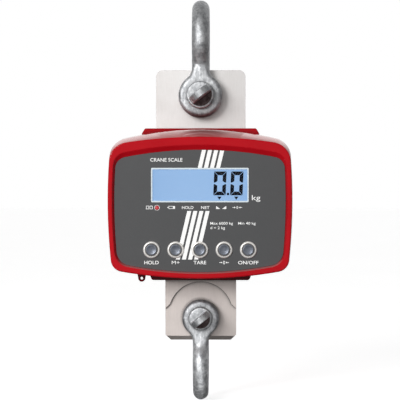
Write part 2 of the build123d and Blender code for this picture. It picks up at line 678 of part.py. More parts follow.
with BuildPart() as display_board:
    block(DISPLAY_BOARD_Y, BOARD, 140, 60, [(0, DISPLAY_Z)], corner=2.0)
    drill(DISPLAY_BOARD_Y, BOARD, 1.25 + 0.1, DISPLAY_SCREW_SPOTS)
save(display_board, "display_board")
screws("display_board_screws", DISPLAY_SCREW_SPOTS, DISPLAY_BOARD_Y + BOARD, INNER_FRONT_Y - 2.2,
       1.25, 2.2, 1.8)

with BuildPart() as lamp_ring:
    post(FOIL_Y - 0.3, INNER_FRONT_Y - FOIL_Y, LAMP_RING_RADIUS, LAMP_SPOT)
    fillet(lamp_ring.faces().sort_by(Axis.Y)[0].edges(), 0.2)
    drill(FOIL_Y - 1, 8, 2.5 + TOUCH, LAMP_SPOT)
save(lamp_ring, "lamp_ring")

with BuildPart() as status_lamp:
    post(FOIL_Y - 0.2, DISPLAY_BOARD_Y - FOIL_Y + 0.2, 2.5, LAMP_SPOT)
    fillet(status_lamp.faces().sort_by(Axis.Y)[0].edges(), 1.2)
save(status_lamp, "status_lamp")

# ---------------------------------------------------------------- push buttons
BORE_FLOOR_Y = -58.0
RING_DEPTH = 1.0
BARREL_BORE = PLUNGER_RADIUS + 0.2
SEAL_BAND = (8.3, 9.3)
SEAL_HEIGHT = 0.8
with BuildPart() as button_bezels:
    post(BEZEL_Y, FOIL_Y - BEZEL_Y, BEZEL_RADIUS, BUTTON_SPOTS)
    fillet(button_bezels.faces().filter_by(Axis.Y).group_by(Axis.Y)[0].edges(), 1.8)
    post(FOIL_Y, BARREL_END_Y - FOIL_Y, BARREL_RADIUS, BUTTON_SPOTS)
    drill(BEZEL_Y, RING_DEPTH, RING_RADIUS, BUTTON_SPOTS)
    drill(BEZEL_Y, BORE_FLOOR_Y - BEZEL_Y, BARREL_BORE, BUTTON_SPOTS)
    drill(BORE_FLOOR_Y, BARREL_END_Y - BORE_FLOOR_Y, STEM_RADIUS + 0.08, BUTTON_SPOTS)
    with BuildSketch(upright(FOIL_Y)):
        with Locations(*BUTTON_SPOTS):
            Circle(SEAL_BAND[1] + TOUCH)
            Circle(SEAL_BAND[0] - TOUCH, mode=Mode.SUBTRACT)
    extrude(amount=SEAL_HEIGHT + TOUCH, mode=Mode.SUBTRACT)
save(button_bezels, "button_bezels")

with BuildPart() as button_seals:
    with BuildSketch(upright(FOIL_Y)):
        with Locations(*BUTTON_SPOTS):
            Circle(SEAL_BAND[1])
            Circle(SEAL_BAND[0], mode=Mode.SUBTRACT)
    extrude(amount=SEAL_HEIGHT)
save(button_seals, "button_seals")

with BuildPart() as button_rings:
    post(BEZEL_Y + 0.3, RING_DEPTH - 0.3, RING_RADIUS - TOUCH, BUTTON_SPOTS)
    drill(BEZEL_Y, RING_DEPTH, BARREL_BORE, BUTTON_SPOTS)
save(button_rings, "button_rings")

with BuildPart() as button_nuts:
    with BuildSketch(upright(INNER_FRONT_Y)):
        with Locations(*BUTTON_SPOTS):
            RegularPolygon(9.5, 6, major_radius=False)
            Circle(BARREL_RADIUS + THREAD, mode=Mode.SUBTRACT)
    extrude(amount=-3.5)
save(button_nuts, "button_nuts")

PLUNGER_Y = -74.3
HEAD_DEPTH = 3.7
SWITCH_HEIGHT = 2.6
STEM_END_Y = BUTTON_BOARD_Y - SWITCH_HEIGHT - BUTTON_TRAVEL - 0.2
DISH_RADIUS = 22.0
DISH_DEPTH = 0.6
for button_name, button_x in zip(BUTTON_NAMES, BUTTON_X):
    spot = [(button_x, BUTTON_Z)]
    with BuildPart() as plunger:
        post(PLUNGER_Y, HEAD_DEPTH, PLUNGER_RADIUS, spot)
        fillet(plunger.faces().sort_by(Axis.Y)[0].edges(), 0.5)
        post(PLUNGER_Y + HEAD_DEPTH, STEM_END_Y - PLUNGER_Y - HEAD_DEPTH, STEM_RADIUS, spot)
        with Locations((button_x, PLUNGER_Y - DISH_RADIUS + DISH_DEPTH, BUTTON_Z)):
            Sphere(DISH_RADIUS, mode=Mode.SUBTRACT)
    save(plunger, f"button_{button_name}")

SPRING_WIRE = 0.4
SPRING_RADIUS = 4.6
SPRING_TURNS = 5
spring_start = PLUNGER_Y + HEAD_DEPTH + SPRING_WIRE + TOUCH
spring_length = BORE_FLOOR_Y - SPRING_WIRE - TOUCH - spring_start
with BuildPart() as one_spring:
    with BuildLine() as coil:
        Helix(spring_length / SPRING_TURNS, spring_length, SPRING_RADIUS,
              center=(0, spring_start, BUTTON_Z), direction=(0, 1, 0))
    with BuildSketch(Plane(origin=coil.line @ 0, z_dir=coil.line % 0)):
        Circle(SPRING_WIRE)
    sweep(path=coil.line, is_frenet=True)

with BuildPart() as button_springs:
    with Locations(*[(x, 0, 0) for x in BUTTON_X]):
        add(one_spring.part)
save(button_springs, "button_springs")

with BuildPart() as button_board:
    block(BUTTON_BOARD_Y, BOARD, 160, 26, [(0, BUTTON_Z)], corner=2.0)
    drill(BUTTON_BOARD_Y, BOARD, 1.5 + 0.1, BUTTON_BOARD_SCREW_SPOTS)
save(button_board, "button_board")
screws("button_board_screws", BUTTON_BOARD_SCREW_SPOTS, BUTTON_BOARD_Y + BOARD,
       BUTTON_BOARD_Y - 8, 1.5, 2.75, 2.0)

with BuildPart() as button_switches:
    block(BUTTON_BOARD_Y - SWITCH_HEIGHT + 0.4, SWITCH_HEIGHT - 0.4, 12, 12, BUTTON_SPOTS)
    post(BUTTON_BOARD_Y - SWITCH_HEIGHT, 0.4, 1.75, BUTTON_SPOTS)
save(button_switches, "button_switches")

# ---------------------------------------------------------------- electronics
with BuildPart() as main_board:
    block(MAIN_BOARD_Y, BOARD, MAIN_BOARD[0], MAIN_BOARD[1], [(0, MAIN_BOARD_Z)], corner=2.0)
    drill(MAIN_BOARD_Y, BOARD, 1.5 + 0.1, MAIN_SCREW_SPOTS)
save(main_board, "main_board")
screws("main_board_screws", MAIN_SCREW_SPOTS, MAIN_BOARD_Y + BOARD, MAIN_BOARD_Y - 8, 1.5, 2.75, 2.0)

BOARD_BACK_Y = MAIN_BOARD_Y + BOARD
with BuildPart() as main_board_parts:
    # processor, converter and supply chips on the front
    block(MAIN_BOARD_Y - 1.6, 1.6, 14, 14, [(-30, -210)])
    block(MAIN_BOARD_Y - 1.8, 1.8, 10, 7, [(-5, -232), (30, -232), (50, -212)])
    post(MAIN_BOARD_Y - 9, 9, 4.0, [(-60, -205), (-60, -217)])
    block(MAIN_BOARD_Y - 3.5, 3.5, 11, 4.5, [(-30, -230)])
    # plug for the display ribbon
    block(MAIN_BOARD_Y - 4, 4, 28, 5, [(10, -215)])
    # plug for the button ribbon
    block(MAIN_BOARD_Y - 3, 3, 28, 5, [(0, -249)])
    # plugs at the back for the cell, the battery and the socket
    block(BOARD_BACK_Y, 3.5, 12, 6, [(0, -248)])
    block(BOARD_BACK_Y, 6, 8, 12, [(66, -212), (66, -238)])
save(main_board_parts, "main_board_parts")


RIBBON_THICKNESS = 0.8


def ribbon(name, points, bend, width, x):
    """Flat ribbon cable that follows rounded corners in an upright plane across X."""
    with BuildPart() as cable:
        with BuildSketch(Plane.YZ.offset(x - width / 2)):
            with BuildLine():
                FilletPolyline(*points, radius=bend)
            trace(line_width=RIBBON_THICKNESS)
        extrude(amount=width)
    save(cable, name)


ribbon("display_ribbon", [(DISPLAY_BOARD_Y + BOARD + 0.45, -214), (-54.0, -214), (-54.0, -222),
                          (-46.0, -222), (-46.0, -215), (-42.45, -215)], 1.5, 25.0, 10.0)
ribbon("button_ribbon", [(-46.0, -268), (-42.0, -268), (-42.0, -249), (-41.45, -249)],
       0.5, 25.0, 0.0)


def cable(name, radius, *routes):
    """Round cores that follow smooth routes; each route starts and ends along Y."""
    with BuildPart() as cores:
        for points, start, end in routes:
            with BuildLine() as route:
                Spline(*points, tangents=[start, end])
            with BuildSketch(Plane(origin=route.line @ 0, z_dir=route.line % 0)):
                Circle(radius)
            sweep(path=route.line)
    save(cores, name)


cable("cell_cable", 1.8, ([(0, -17.1, GAUGE_Z), (0, -24, -233), (0, -32.7, -248)],
                          (0, -1, 0), (0, -1, 0)))

TRAY_WALL = 2.0
CELL_RADIUS = 7.1
CELL_LENGTH = 50.0
CELL_X = (-24.0, -8.0, 8.0, 24.0)
BATTERY_Y = 46.0
with BuildPart() as battery_tray:
    block(TRAY_Y, INNER_BACK_Y - TRAY_Y, TRAY_SIZE[0], TRAY_SIZE[1], [(0, BATTERY_Z)], corner=3.0)
    block(TRAY_Y + TRAY_WALL, INNER_BACK_Y, TRAY_SIZE[0] - 2 * TRAY_WALL,
          TRAY_SIZE[1] - 2 * TRAY_WALL, [(0, BATTERY_Z)], mode=Mode.SUBTRACT)
save(battery_tray, "battery_tray")

with BuildPart() as battery_cells:
    with BuildSketch(level(BATTERY_Z - CELL_LENGTH / 2)):
        with Locations(*[(x, BATTERY_Y) for x in CELL_X]):
            Circle(CELL_RADIUS)
    extrude(amount=CELL_LENGTH - 1.2)
    fillet(battery_cells.edges().filter_by(GeomType.CIRCLE), 0.6)
    with BuildSketch(level(BATTERY_Z + CELL_LENGTH / 2 - 1.2)):
        with Locations(*[(x, BATTERY_Y) for x in CELL_X]):
            Circle(2.6)
    extrude(amount=1.2)
save(battery_cells, "battery_cells")

contact_depth = TRAY_SIZE[1] / 2 - TRAY_WALL - CELL_LENGTH / 2
contact_z = BATTERY_Z + CELL_LENGTH / 2 + contact_depth / 2
contact_spots = [(x, z) for x in CELL_X for z in (contact_z, 2 * BATTERY_Z - contact_z)]
with BuildPart() as battery_contacts:
    block(BATTERY_Y - 5, 10, 9, contact_depth - 0.1, contact_spots)
save(battery_contacts, "battery_contacts")

GASKET_HEIGHT = 0.7
COVER_Y = COVER_RECESS_Y + GASKET_HEIGHT
with BuildPart() as battery_gasket:
    block(COVER_RECESS_Y, GASKET_HEIGHT, COVER_SIZE[0], COVER_SIZE[1], [(0, BATTERY_Z)], corner=4.0)
    block(COVER_RECESS_Y, GASKET_HEIGHT, TRAY_SIZE[0], TRAY_SIZE[1], [(0, BATTERY_Z)],
          mode=Mode.SUBTRACT)
    drill(COVER_RECESS_Y, GASKET_HEIGHT, 1.6, COVER_SCREW_SPOTS)
save(battery_gasket, "battery_gasket")

with BuildPart() as battery_cover:
    block(COVER_Y, BACK_Y - COVER_Y, COVER_SIZE[0], COVER_SIZE[1], [(0, BATTERY_Z)], corner=4.0)
    drill(COVER_Y, 3, 1.6, COVER_SCREW_SPOTS)
    drill(BACK_Y - 1.2, 2, 3.0, COVER_SCREW_SPOTS)
save(battery_cover, "battery_cover")
screws("battery_cover_screws", COVER_SCREW_SPOTS, BACK_Y - 1.2, COVER_RECESS_Y - 8, 1.5, 2.8, 1.1)

cable("battery_leads", 1.0,
      ([(39.1, 42, -210), (58, 30, -212), (60, 0, -212), (66, -30.3, -209)], (1, 0, 0), (0, -1, 0)),
      ([(39.1, 42, -214), (58, 30, -216), (60, 0, -216), (66, -30.3, -215)], (1, 0, 0), (0, -1, 0)))

# ---------------------------------------------------------------- charging socket
SOCKET_FLANGE = 1.0
SOCKET_TOP_Z = -288.0
CAP_Z = SOCKET_SEAT_Z - SOCKET_FLANGE - 0.1
CAP_THICKNESS = 1.6
HINGE_X = SOCKET_X - 12.0
HINGE_Z = CAP_Z - CAP_THICKNESS / 2
STRAP_WIDTH = 7.0
STRAP_LENGTH = 14.0
with BuildPart() as charging_socket:
    with BuildSketch(level(SOCKET_SEAT_Z)):
        with Locations((SOCKET_X, SOCKET_Y)):
            Circle(SOCKET_BODY)
    extrude(amount=SOCKET_TOP_Z - SOCKET_SEAT_Z)
    with BuildSketch(level(SOCKET_SEAT_Z)):
        with Locations((SOCKET_X, SOCKET_Y)):
            Circle(7.2)
    extrude(amount=-SOCKET_FLANGE)
    with BuildSketch(level(SOCKET_SEAT_Z - SOCKET_FLANGE)):
        with Locations((SOCKET_X, SOCKET_Y)):
            Circle(3.2)
            Circle(1.0, mode=Mode.SUBTRACT)
    extrude(amount=14.0, mode=Mode.SUBTRACT)
save(charging_socket, "charging_socket")

with BuildPart() as charging_socket_nut:
    with BuildSketch(level(SOCKET_SEAT_Z + 10.0)):
        with Locations((SOCKET_X, SOCKET_Y)):
            RegularPolygon(7.0, 6, major_radius=False)
            Circle(SOCKET_BODY + THREAD, mode=Mode.SUBTRACT)
    extrude(amount=2.5)
save(charging_socket_nut, "charging_socket_nut")

with BuildPart() as socket_cover:
    with BuildSketch(level(CAP_Z)):
        with Locations((SOCKET_X, SOCKET_Y)):
            Circle(8.2)
        with Locations(((SOCKET_X + HINGE_X) / 2, SOCKET_Y)):
            Rectangle(SOCKET_X - HINGE_X, STRAP_WIDTH)
    extrude(amount=-CAP_THICKNESS)
    with BuildSketch(upright(SOCKET_Y - STRAP_WIDTH / 2)):
        with Locations((HINGE_X, HINGE_Z)):
            Circle(CAP_THICKNESS / 2)
    extrude(amount=-STRAP_WIDTH)
save(socket_cover, "socket_cover")

with BuildPart() as socket_strap:
    with BuildSketch(level(SOCKET_SEAT_Z)):
        with Locations((HINGE_X - CAP_THICKNESS / 2 - 0.1 - STRAP_LENGTH / 2, SOCKET_Y)):
            RectangleRounded(STRAP_LENGTH, STRAP_WIDTH, 2.0)
        with Locations((STRAP_SCREW_X, SOCKET_Y)):
            Circle(1.6, mode=Mode.SUBTRACT)
    extrude(amount=-SOCKET_FLANGE - CAP_THICKNESS - 0.1)
save(socket_strap, "socket_strap")

with BuildPart() as socket_strap_screw:
    with BuildSketch(level(SOCKET_SEAT_Z + 6)):
        with Locations((STRAP_SCREW_X, SOCKET_Y)):
            Circle(1.5)
    extrude(amount=-6 - SOCKET_FLANGE - CAP_THICKNESS - 0.1)
    with BuildSketch(level(CAP_Z - CAP_THICKNESS)):
        with Locations((STRAP_SCREW_X, SOCKET_Y)):
            Circle(2.7)
    extrude(amount=-1.2)
save(socket_strap_screw, "socket_strap_screw")

cable("charging_leads", 1.0,
      ([(SOCKET_X - 2, SOCKET_Y, SOCKET_TOP_Z + 0.1), (SOCKET_X - 1, 38, -262), (66, -4, -240),
        (66, -30.3, -236)],
       (0, 0, 1), (0, -1, 0)),
      ([(SOCKET_X + 2, SOCKET_Y, SOCKET_TOP_Z + 0.1), (SOCKET_X + 3, 38, -266), (66, -4, -246),
        (66, -30.3, -241)],
       (0, 0, 1), (0, -1, 0)))

with BuildPart() as rating_plate:
    block(BACK_Y - 0.6, 0.4, PLATE_RECESS[0] - 0.4, PLATE_RECESS[1] - 0.4, [(0, RATING_Z)],
          corner=1.8)
save(rating_plate, "rating_plate")
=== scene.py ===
import math

import bpy
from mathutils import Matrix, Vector


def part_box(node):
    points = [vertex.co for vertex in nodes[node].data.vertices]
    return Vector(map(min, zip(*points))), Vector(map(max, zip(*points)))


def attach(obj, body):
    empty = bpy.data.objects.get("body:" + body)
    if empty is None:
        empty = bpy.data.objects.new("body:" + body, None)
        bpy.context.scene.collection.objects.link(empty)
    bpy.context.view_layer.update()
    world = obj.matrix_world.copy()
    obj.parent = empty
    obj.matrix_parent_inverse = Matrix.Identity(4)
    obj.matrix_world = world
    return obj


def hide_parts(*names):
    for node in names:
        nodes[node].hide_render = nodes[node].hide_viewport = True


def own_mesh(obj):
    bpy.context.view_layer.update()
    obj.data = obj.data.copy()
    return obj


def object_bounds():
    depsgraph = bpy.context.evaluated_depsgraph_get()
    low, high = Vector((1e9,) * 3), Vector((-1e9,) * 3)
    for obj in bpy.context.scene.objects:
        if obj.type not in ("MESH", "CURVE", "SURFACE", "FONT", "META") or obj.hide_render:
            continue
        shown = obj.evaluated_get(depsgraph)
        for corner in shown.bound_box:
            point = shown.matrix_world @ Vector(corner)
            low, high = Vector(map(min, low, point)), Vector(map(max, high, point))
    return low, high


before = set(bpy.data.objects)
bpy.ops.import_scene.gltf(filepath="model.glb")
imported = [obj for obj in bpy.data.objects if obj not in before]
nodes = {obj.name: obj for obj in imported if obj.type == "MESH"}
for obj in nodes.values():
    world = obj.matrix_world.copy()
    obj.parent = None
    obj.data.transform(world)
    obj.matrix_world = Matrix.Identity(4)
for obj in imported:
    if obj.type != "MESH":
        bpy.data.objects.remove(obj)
cad_low, cad_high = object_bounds()

MM = 0.001


def centre_of(name):
    """Middle of a CAD node's box."""
    low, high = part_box(name)
    return (low + high) / 2


# ------------------------------------------------------------------ shader building
class Nodes:
    """A node tree under construction; values are numbers, colours or outputs of nodes."""

    def __init__(self, tree):
        self.tree = tree

    def add(self, kind, **settings):
        node = self.tree.nodes.new(kind)
        for key, value in settings.items():
            setattr(node, key, value)
        return node

    def link(self, source, target):
        self.tree.links.new(source, target)

    def feed(self, value, socket):
        """Set a socket to a number or a colour, or link it."""
        if isinstance(value, (int, float)):
            socket.default_value = value
        elif isinstance(value, tuple):
            socket.default_value = (*value, 1.0)
        else:
            self.link(value, socket)

    def axes(self, vector):
        """X, Y and Z of a vector."""
        parts = self.add("ShaderNodeSeparateXYZ")
        self.link(vector, parts.inputs["Vector"])
        return parts.outputs["X"], parts.outputs["Y"], parts.outputs["Z"]

    def ramp(self, value, *stops):
        """Colour ramp; each stop is (position, colour)."""
        node = self.add("ShaderNodeValToRGB")
        while len(node.color_ramp.elements) < len(stops):
            node.color_ramp.elements.new(0.5)
        for element, (position, colour) in zip(node.color_ramp.elements, stops):
            element.position = position
            element.color = (*colour, 1.0)
        self.link(value, node.inputs["Fac"])
        return node.outputs["Color"]

    def span(self, value, low, high, start=0.3, end=0.7):
        """Value from start..end, by default most of a noise, mapped to low..high."""
        node = self.add("ShaderNodeMapRange")
        node.inputs["From Min"].default_value = start
        node.inputs["From Max"].default_value = end
        node.inputs["To Min"].default_value = low
        node.inputs["To Max"].default_value = high
        self.link(value, node.inputs["Value"])
        return node.outputs["Result"]

    def math(self, operation, a, b=0.0):
        node = self.add("ShaderNodeMath", operation=operation)
        self.feed(a, node.inputs[0])
        self.feed(b, node.inputs[1])
        return node.outputs["Value"]

    def product(self, *values):
        """Values multiplied by each other; the first is an output."""
        result = values[0]
        for value in values[1:]:
            result = self.math("MULTIPLY", result, value)
        return result

    def mix(self, share, first, second, blend="MIX"):
        """Colour between two others, or their product."""
        node = self.add("ShaderNodeMix", data_type="RGBA", blend_type=blend)
        ends = [socket for socket in node.inputs if socket.type == "RGBA"]
        self.feed(share, node.inputs["Factor"])
        self.feed(first, ends[0])
        self.feed(second, ends[1])
        return next(socket for socket in node.outputs if socket.type == "RGBA")


class Shader(Nodes):
    """A material under construction, textured by place in the object's own frame."""

    def __init__(self, name):
        self.material = bpy.data.materials.new(name)
        self.material.use_nodes = True
        super().__init__(self.material.node_tree)
        self.surface = self.tree.nodes["Principled BSDF"]
        self.place = self.add("ShaderNodeTexCoord").outputs["Object"]

    def stretch(self, x, y, z):
        """Place, scaled per axis, so that a texture becomes streaks."""
        mapping = self.add("ShaderNodeMapping")
        mapping.inputs["Scale"].default_value = (x, y, z)
        self.link(self.place, mapping.inputs["Vector"])
        return mapping.outputs["Vector"]

    def noise(self, scale, detail=4.0, roughness=0.55, place=None):
        node = self.add("ShaderNodeTexNoise")
        node.inputs["Scale"].default_value = scale
        node.inputs["Detail"].default_value = detail
        node.inputs["Roughness"].default_value = roughness
        self.link(place or self.place, node.inputs["Vector"])
        return node.outputs["Fac"]

    def cells(self, scale):
        node = self.add("ShaderNodeTexVoronoi")
        node.inputs["Scale"].default_value = scale
        self.link(self.place, node.inputs["Vector"])
        return node.outputs["Color"]

    def painted_crevice_shade(self, colour, reach_mm, depth, closed, clear):
        """Painted shade: colour darkened by depth where little sky is seen, between closed and
        clear.
        """
        sky = self.add("ShaderNodeAmbientOcclusion", samples=8)
        sky.inputs["Distance"].default_value = reach_mm * MM
        shade = self.ramp(sky.outputs["AO"], (closed, (1 - depth,) * 3), (clear, (1, 1, 1)))
        return self.mix(1.0, colour, shade, "MULTIPLY")

    def relief(self, height, depth_mm, edge_mm=0.0):
        """Bump of the given height texture, over edges softened by edge_mm."""
        bump = self.add("ShaderNodeBump")
        bump.inputs["Strength"].default_value = 1.0
        bump.inputs["Distance"].default_value = depth_mm * MM
        self.link(height, bump.inputs["Height"])
        if edge_mm > 0:
            bevel = self.add("ShaderNodeBevel", samples=4)
            bevel.inputs["Radius"].default_value = edge_mm * MM
            self.link(bevel.outputs["Normal"], bump.inputs["Normal"])
        self.link(bump.outputs["Normal"], self.surface.inputs["Normal"])

    def set(self, **values):
        """Set or link inputs of the surface; underscores in names stand for spaces."""
        for key, value in values.items():
            self.feed(value, self.surface.inputs[key.replace("_", " ")])


# ------------------------------------------------------------------ materials
# the strip where shade is painted into the paint, under and behind the lower rim
SHADE_Z = (-308.0 * MM, -303.5 * MM)
SHADE_FRONT_Y = (-60 * MM, -45 * MM)
SHADE_BACK_Y = (6 * MM, 20 * MM)


def red_paint():
    """Gloss paint: painted sheen on upward slopes, painted shade in hollows and by the lower rim.
    """
    s = Shader("red_paint")
    drift = s.noise(18, detail=2)
    paint = s.ramp(drift, (0.35, (0.53, 0.004, 0.011)), (0.65, (0.59, 0.006, 0.014)))
    _, y, z = s.axes(s.place)
    # painted shade: a strip under and behind the lower rim, mixed below to a deep red
    painted_shade = s.product(s.span(z, 1.0, 0.0, *SHADE_Z), s.span(y, 1.0, 0.0, *SHADE_BACK_Y),
                       s.span(y, 0.0, 1.0, *SHADE_FRONT_Y))
    paint = s.mix(painted_shade, paint, (0.23, 0.003, 0.007))
    slant = s.add("ShaderNodeLayerWeight").outputs["Facing"]
    _, _, upward = s.axes(s.add("ShaderNodeNewGeometry").outputs["Normal"])
    # painted sheen: upward slopes seen at a slant turn pale pink and metallic, a painted
    # reflection of light from above
    painted_sheen = s.product(s.span(slant, 0.0, 0.48, 0.44, 0.68), s.span(upward, 0.0, 1.0, 0.45, 0.80))
    gloss = s.product(s.span(slant, 0.10, 1.0, 0.15, 0.58), s.span(upward, 0.45, 1.0, 0.45, 0.80))
    # painted shade in hollows darkens the paint before the painted sheen is mixed in
    paint = s.mix(painted_sheen, s.painted_crevice_shade(paint, 16, depth=0.8, closed=0.35, clear=0.85),
                  (1.0, 0.58, 0.56))
    s.set(Base_Color=paint, Metallic=painted_sheen, Roughness=s.span(s.noise(260), 0.34, 0.42),
          Coat_Weight=gloss, Coat_Roughness=0.05, Coat_IOR=2.2, Specular_IOR_Level=0.02)
    s.relief(s.noise(520, detail=2), 0.012, edge_mm=2.4)
    return s.material


def grey_foil():
    """Printed panel foil with a fine grain."""
    s = Shader("grey_foil")
    grain = s.noise(3200, detail=3)
    s.set(Base_Color=s.ramp(grain, (0.3, (0.082, 0.083, 0.086)), (0.7, (0.100, 0.101, 0.103))),
          Roughness=s.span(s.noise(90), 0.50, 0.58), Specular_IOR_Level=0.3)
    s.relief(grain, 0.02)
    return s.material


def white_ink():
    """Opaque white print with a faint glow, so that thin lettering stays white."""
    s = Shader("white_ink")
    white = s.ramp(s.noise(2600), (0.3, (0.88, 0.88, 0.87)), (0.7, (0.94, 0.94, 0.93)))
    s.set(Base_Color=white, Roughness=0.55, Emission_Color=white, Emission_Strength=0.24)
    s.relief(s.noise(3200), 0.006)
    return s.material


def ground_steel():
    """Ground steel, cool on the upper plate and warmer on the lower block as a painted
    reflection.
    """
    s = Shader("ground_steel")
    cloud = s.noise(22, detail=5, roughness=0.6)
    grain = s.noise(1.0, detail=6, roughness=0.7, place=s.stretch(900, 900, 60))
    speck = s.noise(1500, detail=2)
    tone = s.math("ADD", s.product(cloud, 0.7), s.product(grain, 0.3))
    upper = s.ramp(tone, (0.32, (0.60, 0.58, 0.565)), (0.68, (0.72, 0.705, 0.695)))
    # painted reflection: the lower block's warmer, pinkish tone stands in for the red housing
    # reflected in it
    lower = s.ramp(tone, (0.32, (0.62, 0.56, 0.53)), (0.68, (0.77, 0.70, 0.665)))
    _, _, z = s.axes(s.place)
    # painted shadow: a dark band on the lower block under the housing's collar and round the
    # shackle's eye
    lower = s.painted_crevice_shade(lower, 6.0, depth=0.8, closed=0.45, clear=0.9)
    colour = s.mix(s.span(z, 1.0, 0.0, -320 * MM, -120 * MM), upper, lower)
    # painted shade in the grooves and along the relief's step
    colour = s.painted_crevice_shade(colour, 1.6, depth=0.92, closed=0.25, clear=0.85)
    s.set(Base_Color=colour, Metallic=0.72, Roughness=s.span(speck, 0.42, 0.56))
    s.relief(s.math("ADD", grain, s.product(speck, 0.6)), 0.012, edge_mm=0.35)
    return s.material


def distance_from_axis(s, centre, pitch=None):
    """Distance from an axis along Y; with a pitch, from the nearest of a row of such axes."""
    x, _, z = s.axes(s.place)
    x = s.math("SUBTRACT", x, centre.x)
    if pitch:
        x = s.math("FLOORED_MODULO", s.math("ADD", x, 2.5 * pitch), pitch)
        x = s.math("SUBTRACT", x, 0.5 * pitch)
    z = s.math("SUBTRACT", z, centre.z)
    return s.math("SQRT", s.math("ADD", s.product(x, x), s.product(z, z)))


def shaded_foot(s, colour, foot_z):
    """Painted shade: dark just above a level, fading out 11 mm higher."""
    _, _, z = s.axes(s.place)
    return s.mix(s.span(z, 0.9, 0.0, foot_z, foot_z + 11 * MM), colour, (0.06, 0.045, 0.045))


def shaded_eye_rim(s, colour, centre, radius):
    """Painted shade on an eye towards its rim, but not where the bow's neck leaves it below."""
    _, _, z = s.axes(s.place)
    rim = s.span(distance_from_axis(s, centre), 0.0, 1.0, 0.58 * radius, radius)
    off_neck = s.span(z, 0.0, 1.0, centre.z - 0.95 * radius, centre.z - 0.45 * radius)
    rim_shade = s.mix(1.0, colour, (0.47, 0.47, 0.48), "MULTIPLY")
    return s.mix(s.product(rim, off_neck), colour, rim_shade)


PIN_HEAD = 8 * MM  # thickness of a pin's collar
TAB_ANGLE = math.radians(38)  # of a pin's tab, from level


def tab_shadow(s, colour, pin, tab_half):
    """The half of a pin's head below its slanting tab, dark with a painted shadow of the tab."""
    low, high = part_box(pin)
    centre = (low + high) / 2
    x, y, z = s.axes(s.place)
    above_tab = s.math("ADD", s.product(x, -math.sin(TAB_ANGLE)),
                       s.product(s.math("SUBTRACT", z, centre.z), math.cos(TAB_ANGLE)))
    beside = s.span(above_tab, 1, 0, -tab_half - 0.4 * MM, -tab_half)
    rim = high.x - 2.0 * MM
    inside = s.span(distance_from_axis(s, centre), 1, 0, rim - 0.8 * MM, rim)
    face_y = -high.y - PIN_HEAD
    front = s.span(y, 1, 0, face_y + 0.4 * MM, face_y + 1.2 * MM)
    tab_shade = s.ramp(s.noise(300), (0.3, (0.045, 0.030, 0.030)), (0.7, (0.15, 0.11, 0.11)))
    return s.mix(s.product(beside, inside, front), colour, tab_shade)


def galvanised(name, brightness, mark, **marked):
    """Hot-dip zinc, mottled and streaked; the mark is one of the three painted shadings above."""
    s = Shader(name)
    blotch = s.noise(110, detail=6, roughness=0.75)
    streak = s.noise(1.0, detail=5, roughness=0.7, place=s.stretch(620, 620, 70))
    fine = s.noise(900, detail=4, roughness=0.7)
    tone = s.math("ADD", s.product(s.cells(330), 0.16), s.product(blotch, 0.46))
    tone = s.math("ADD", tone, s.product(streak, 0.38))
    # a brightness above 1 makes a painted lighter copy of the same zinc
    dark = [brightness * part for part in (0.28, 0.29, 0.305)]
    light = [brightness * part for part in (0.74, 0.75, 0.76)]
    colour = s.ramp(tone, (0.36, dark), (0.62, light))
    # painted shade where little sky is seen, such as under the eye and round a pin's collar
    colour = s.painted_crevice_shade(colour, 11, depth=0.72, closed=0.3, clear=0.85)
    colour = mark(s, colour, **marked)
    s.set(Base_Color=colour, Metallic=0.9, Roughness=s.span(blotch, 0.44, 0.62))
    s.relief(s.math("ADD", blotch, s.product(fine, 0.6)), 0.25)
    return s.material


def rubber():
    """Matt black rubber."""
    s = Shader("rubber")
    s.set(Base_Color=s.ramp(s.noise(400), (0.3, (0.012,) * 3), (0.7, (0.03,) * 3)),
          Roughness=0.68)
    s.relief(s.noise(1800), 0.02, edge_mm=0.2)
    return s.material


def moulded(name, dark, light, roughness=0.5):
    """Plain moulded plastic with a slight grain."""
    s = Shader(name)
    s.set(Base_Color=s.ramp(s.noise(1400), (0.3, dark), (0.7, light)),
          Roughness=s.span(s.noise(300), roughness - 0.05, roughness + 0.05))
    s.relief(s.noise(2400), 0.008, edge_mm=0.15)
    return s.material


def bright_metal(name, dark, light, roughness=0.3):
    """Small machined or plated steel pieces."""
    s = Shader(name)
    s.set(Base_Color=s.ramp(s.noise(800), (0.3, dark), (0.7, light)), Metallic=0.95,
          Roughness=s.span(s.noise(500), roughness - 0.06, roughness + 0.06))
    s.relief(s.noise(1500), 0.006, edge_mm=0.1)
    return s.material


def turned_metal(name, dark, light, centre, pitch, roughness, mark_mm, metallic):
    """Lathe-turned metal with fine rings around its own axis."""
    s = Shader(name)
    radius = distance_from_axis(s, centre, pitch)
    rings = s.math("SINE", s.product(radius, 2 * math.pi / (mark_mm * MM)))
    smear = s.noise(400)
    s.set(Base_Color=s.ramp(smear, (0.3, dark), (0.7, light)), Metallic=metallic,
          Roughness=s.span(smear, roughness - 0.05, roughness + 0.08))
    s.relief(s.math("ADD", rings, s.noise(1800)), 0.004, edge_mm=0.15)
    return s.material


def lcd_glass():
    """Backlit liquid crystal: even blue glow, a little brighter towards the middle."""
    s = Shader("lcd_glass")
    low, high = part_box("lcd_glass")
    x, _, _ = s.axes(s.place)
    across = s.span(x, 0.0, 1.0, low.x, high.x)
    bell = s.product(s.math("SUBTRACT", 1.0, across), across)
    tone = s.math("ADD", s.product(bell, 2.0), s.product(s.noise(60), 0.3))
    unlit = s.ramp(tone, (0.1, (0.09, 0.15, 0.24)), (0.75, (0.10, 0.17, 0.26)))
    glow = s.ramp(tone, (0.1, (0.235, 0.42, 0.72)), (0.75, (0.28, 0.465, 0.765)))
    s.set(Base_Color=unlit, Roughness=0.35, Emission_Color=glow, Emission_Strength=0.72)
    s.relief(s.noise(3000), 0.004)
    return s.material


